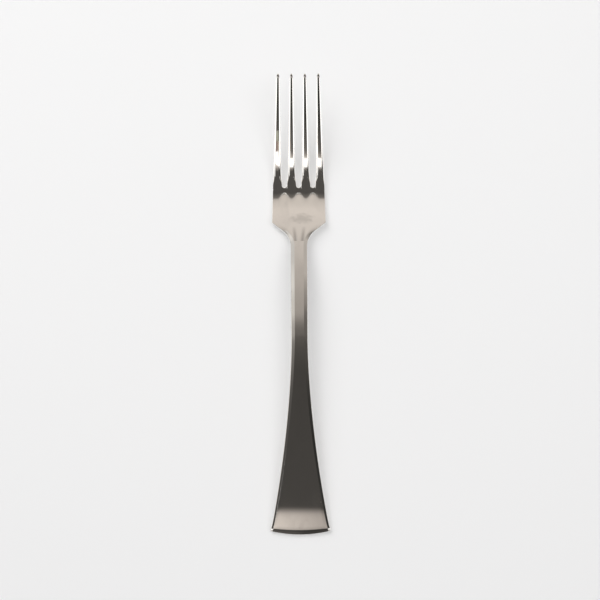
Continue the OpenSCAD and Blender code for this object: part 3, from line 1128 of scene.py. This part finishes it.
facing = tree.nodes.new("ShaderNodeSeparateXYZ")
tree.links.new(tree.nodes.new("ShaderNodeTexCoord").outputs["Generated"], facing.inputs[0])
up = light("ADD", facing.outputs["Z"], 1)
lean = light("MULTIPLY", light("ARCTAN2", facing.outputs["Y"], up), math.degrees(2))
tilt = light("MULTIPLY", light("ARCTAN2", facing.outputs["X"], up), math.degrees(2))
lean_share = light("MULTIPLY_ADD", lean, 1 / tone_span, 0.5)


def wall(tones):
    """Colours that run by the lean of the mirrored ray."""
    node = tree.nodes.new("ShaderNodeValToRGB")
    tree.links.new(lean_share, node.inputs["Fac"])
    stops = node.color_ramp.elements
    while len(stops) < len(tones):
        stops.new(0.5)
    for stop, (angle, *colour) in zip(stops, tones):
        stop.position = angle / tone_span + 0.5
        stop.color = (*colour, 1)
    return node.outputs["Color"]


def room_mix(factor, first, second):
    """The first colour, with the second over it by a factor."""
    node = tree.nodes.new("ShaderNodeMix")
    node.data_type = "RGBA"
    for label, value in (("Factor", factor), ("A", first), ("B", second)):
        tree.links.new(value, node.inputs[label])
    return node.outputs["Result"]


def side(start, end):
    """Share of a side wall in the mirrored picture, from one tilt to another."""
    node = tree.nodes.new("ShaderNodeMapRange")
    node.interpolation_type = "SMOOTHSTEP"
    node.inputs["From Min"].default_value = start
    node.inputs["From Max"].default_value = end
    tree.links.new(tilt, node.inputs["Value"])
    return node.outputs["Result"]


# The window behind the handle's end is brighter on its left.
window_lean = -27.5
window_tilt = 1.2
window_left_gain = 1.18
window_right_gain = 0.73
window_turn = tree.nodes.new("ShaderNodeMapRange")
window_turn.inputs["From Min"].default_value = -window_tilt
window_turn.inputs["From Max"].default_value = window_tilt
window_turn.inputs["To Min"].default_value = window_left_gain - 1
window_turn.inputs["To Max"].default_value = window_right_gain - 1
tree.links.new(tilt, window_turn.inputs["Value"])
in_window = light("LESS_THAN", lean, window_lean)
window_gain = light("MULTIPLY_ADD", in_window, window_turn.outputs["Result"], 1)
window = tree.nodes.new("ShaderNodeVectorMath")
window.operation = "SCALE"
tree.links.new(wall(over_tones), window.inputs[0])
tree.links.new(window_gain, window.inputs["Scale"])
seen_walls = window.outputs[0]
for start, full, side_tones in side_walls:
    seen_walls = room_mix(side(start, full), seen_walls, wall(side_tones))
even = tree.nodes.new("ShaderNodeBackground")
even.inputs["Color"].default_value = (*room_light_tone, 1)
even.inputs["Strength"].default_value = room_light
mirrored = tree.nodes.new("ShaderNodeBackground")
tree.links.new(seen_walls, mirrored.inputs["Color"])
backdrop = tree.nodes.new("ShaderNodeBackground")
backdrop.inputs["Color"].default_value = (*backdrop_tone, 1)
rays = tree.nodes.new("ShaderNodeLightPath")
for_mirror = tree.nodes.new("ShaderNodeMixShader")
tree.links.new(rays.outputs["Is Glossy Ray"], for_mirror.inputs[0])
tree.links.new(even.outputs[0], for_mirror.inputs[1])
tree.links.new(mirrored.outputs[0], for_mirror.inputs[2])
for_camera = tree.nodes.new("ShaderNodeMixShader")
tree.links.new(rays.outputs["Is Camera Ray"], for_camera.inputs[0])
tree.links.new(for_mirror.outputs[0], for_camera.inputs[1])
tree.links.new(backdrop.outputs[0], for_camera.inputs[2])
tree.links.new(for_camera.outputs[0], tree.nodes.new("ShaderNodeOutputWorld").inputs[0])

# Cards: a white strip of board held upright over the roots of the tines, cut slanting at
# the left and with three dull pieces above it there. Only the steel sees them, as the
# bright band across the bend.
card_y = 49 * mm
card_half = 16 * mm
card_step = -6.5 * mm
card_turn = -8.6 * mm
card_split = -9.35 * mm
card_low = 27.9 * mm
card_turn_low = 28.4 * mm
card_high = 32.2 * mm
card_left_low = 31 * mm
card_left_high = 35.7 * mm
dull_high = 41.2 * mm
olive_high = 47 * mm
white_tone = (1.3, 1.287, 1.261)
beige_tone = (0.95, 0.86, 0.74)
brown_tone = (0.27, 0.20, 0.175)
olive_tone = (0.37, 0.37, 0.30)
# Each face has its left and right side, its low edge at the left and at the right, its
# high edge and its tone.
card_faces = (
    (card_step, card_half, card_low, card_low, card_high, white_tone),
    (card_turn, card_step, card_turn_low, card_low, card_left_high, white_tone),
    (-card_half, card_turn, card_left_low, card_turn_low, card_left_high, white_tone),
    (card_split, card_step, card_left_high, card_left_high, dull_high, beige_tone),
    (-card_half, card_split, card_left_high, card_left_high, dull_high, brown_tone),
    (-card_half, card_step, dull_high, dull_high, olive_high, olive_tone),
)
card_points = []
card_corner_tones = []
for left, right, low_left, low_right, high, tone in card_faces:
    card_points += [(left, card_y, high), (right, card_y, high)]
    card_points += [(right, card_y, low_right), (left, card_y, low_left)]
    card_corner_tones += [tone] * 4
card_mesh = bpy.data.meshes.new("white_card")
card_mesh.from_pydata(card_points, [], [range(4 * k, 4 * k + 4) for k in range(len(card_faces))])
painted = card_mesh.color_attributes.new("tone", "FLOAT_COLOR", "CORNER")
for corner, tone in zip(painted.data, card_corner_tones):
    corner.color = (*tone, 1)
white_card = bpy.data.objects.new("white_card", card_mesh)
bpy.context.scene.collection.objects.link(white_card)
board = bpy.data.materials.new("white_board")
board.use_nodes = True
board_tree = board.node_tree
board_tree.nodes.clear()
card_tone = board_tree.nodes.new("ShaderNodeAttribute")
card_tone.attribute_name = "tone"
card_front = board_tree.nodes.new("ShaderNodeEmission")
card_back = board_tree.nodes.new("ShaderNodeBsdfTransparent")
card_side = board_tree.nodes.new("ShaderNodeNewGeometry")
one_sided = board_tree.nodes.new("ShaderNodeMixShader")
board_out = board_tree.nodes.new("ShaderNodeOutputMaterial")
board_tree.links.new(card_tone.outputs["Color"], card_front.inputs["Color"])
board_tree.links.new(card_side.outputs["Backfacing"], one_sided.inputs[0])
board_tree.links.new(card_front.outputs[0], one_sided.inputs[1])
board_tree.links.new(card_back.outputs[0], one_sided.inputs[2])
board_tree.links.new(one_sided.outputs[0], board_out.inputs["Surface"])
card_mesh.materials.append(board)
white_card.visible_camera = False
white_card.visible_diffuse = False
white_card.visible_shadow = False
white_card.visible_transmission = False

# Lamps: a broad soft box up to the left gives the faint shadow on the right. A weaker one
# at the right gives the narrow one along the left of the neck and handle.
lamp_h = 1


def soft_box(name, wide, high, power, stand):
    """A lamp behind white cloth, turned to the middle of the fork. The steel mirrors
    the room and not the lamp."""
    lamp = bpy.data.lights.new(name, "AREA")
    lamp.shape = "RECTANGLE"
    lamp.size = wide
    lamp.size_y = high
    lamp.energy = power
    box = bpy.data.objects.new(name, lamp)
    box.location = stand
    box.rotation_euler = (-box.location).to_track_quat("-Z", "Y").to_euler()
    box.visible_glossy = False
    bpy.context.scene.collection.objects.link(box)


soft_box("soft_box", wide=0.8, high=1.1, power=9.9, stand=(-0.5, 0.7, lamp_h))
soft_box("fill_box", wide=0.45, high=0.7, power=2.7, stand=(0.45, 0.1, lamp_h))

# Camera: straight above the table, as the photo was taken. It stands a little off the
# middle of the fork and is turned by the fork's slight lean in the picture.
camera_x = 0.32 * mm
camera_y = 3.6 * mm
camera_h = 0.55
camera_turn = math.radians(-0.31)
view_w = 265.2 * mm
camera = bpy.data.cameras.new("camera")
camera.angle = 2 * math.atan(view_w / 2 / camera_h)
camera_object = bpy.data.objects.new("camera", camera)
camera_object.location = (camera_x, camera_y, camera_h)
camera_object.rotation_euler = (0, 0, camera_turn)
bpy.context.scene.collection.objects.link(camera_object)
bpy.context.scene.camera = camera_object
bpy.context.scene.view_settings.view_transform = "Standard"
